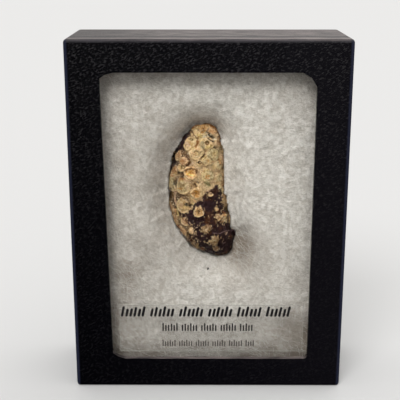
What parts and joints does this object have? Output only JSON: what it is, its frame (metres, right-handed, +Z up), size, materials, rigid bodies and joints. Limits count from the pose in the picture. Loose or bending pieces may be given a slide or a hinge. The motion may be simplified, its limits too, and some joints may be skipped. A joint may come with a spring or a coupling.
{
  "type": "fossil pine cone",
  "caption": "Fossil pine cone with pitted scales, resting on white batting behind glass in a flat black display box with a plain clear label strip.",
  "frame": {"origin": "middle of the box's lower edge face, on the plane that the box stands on", "axes": "+Z up the long side of the box, +Y from its clear front to its back, +X across it to the viewer's right"},
  "size_m": [0.0826, 0.0318, 0.108],
  "materials": {
    "leatherette": "board covered in black grained paper, semi-gloss",
    "clear_glass": "clear, polished",
    "tray_board": "board covered in black paper, matte",
    "batting": "loose white fibre batting",
    "fossil": "silicified cone, cream and orange crust on dark brown",
    "label_film": "clear adhesive film with plain ruled lines"
  },
  "bodies": {
    "root": {"lid": "leatherette", "window_pane": "clear_glass", "tray": "tray_board", "batting": "batting", "cone": "fossil", "label": "label_film"}
  },
  "joints": []
}
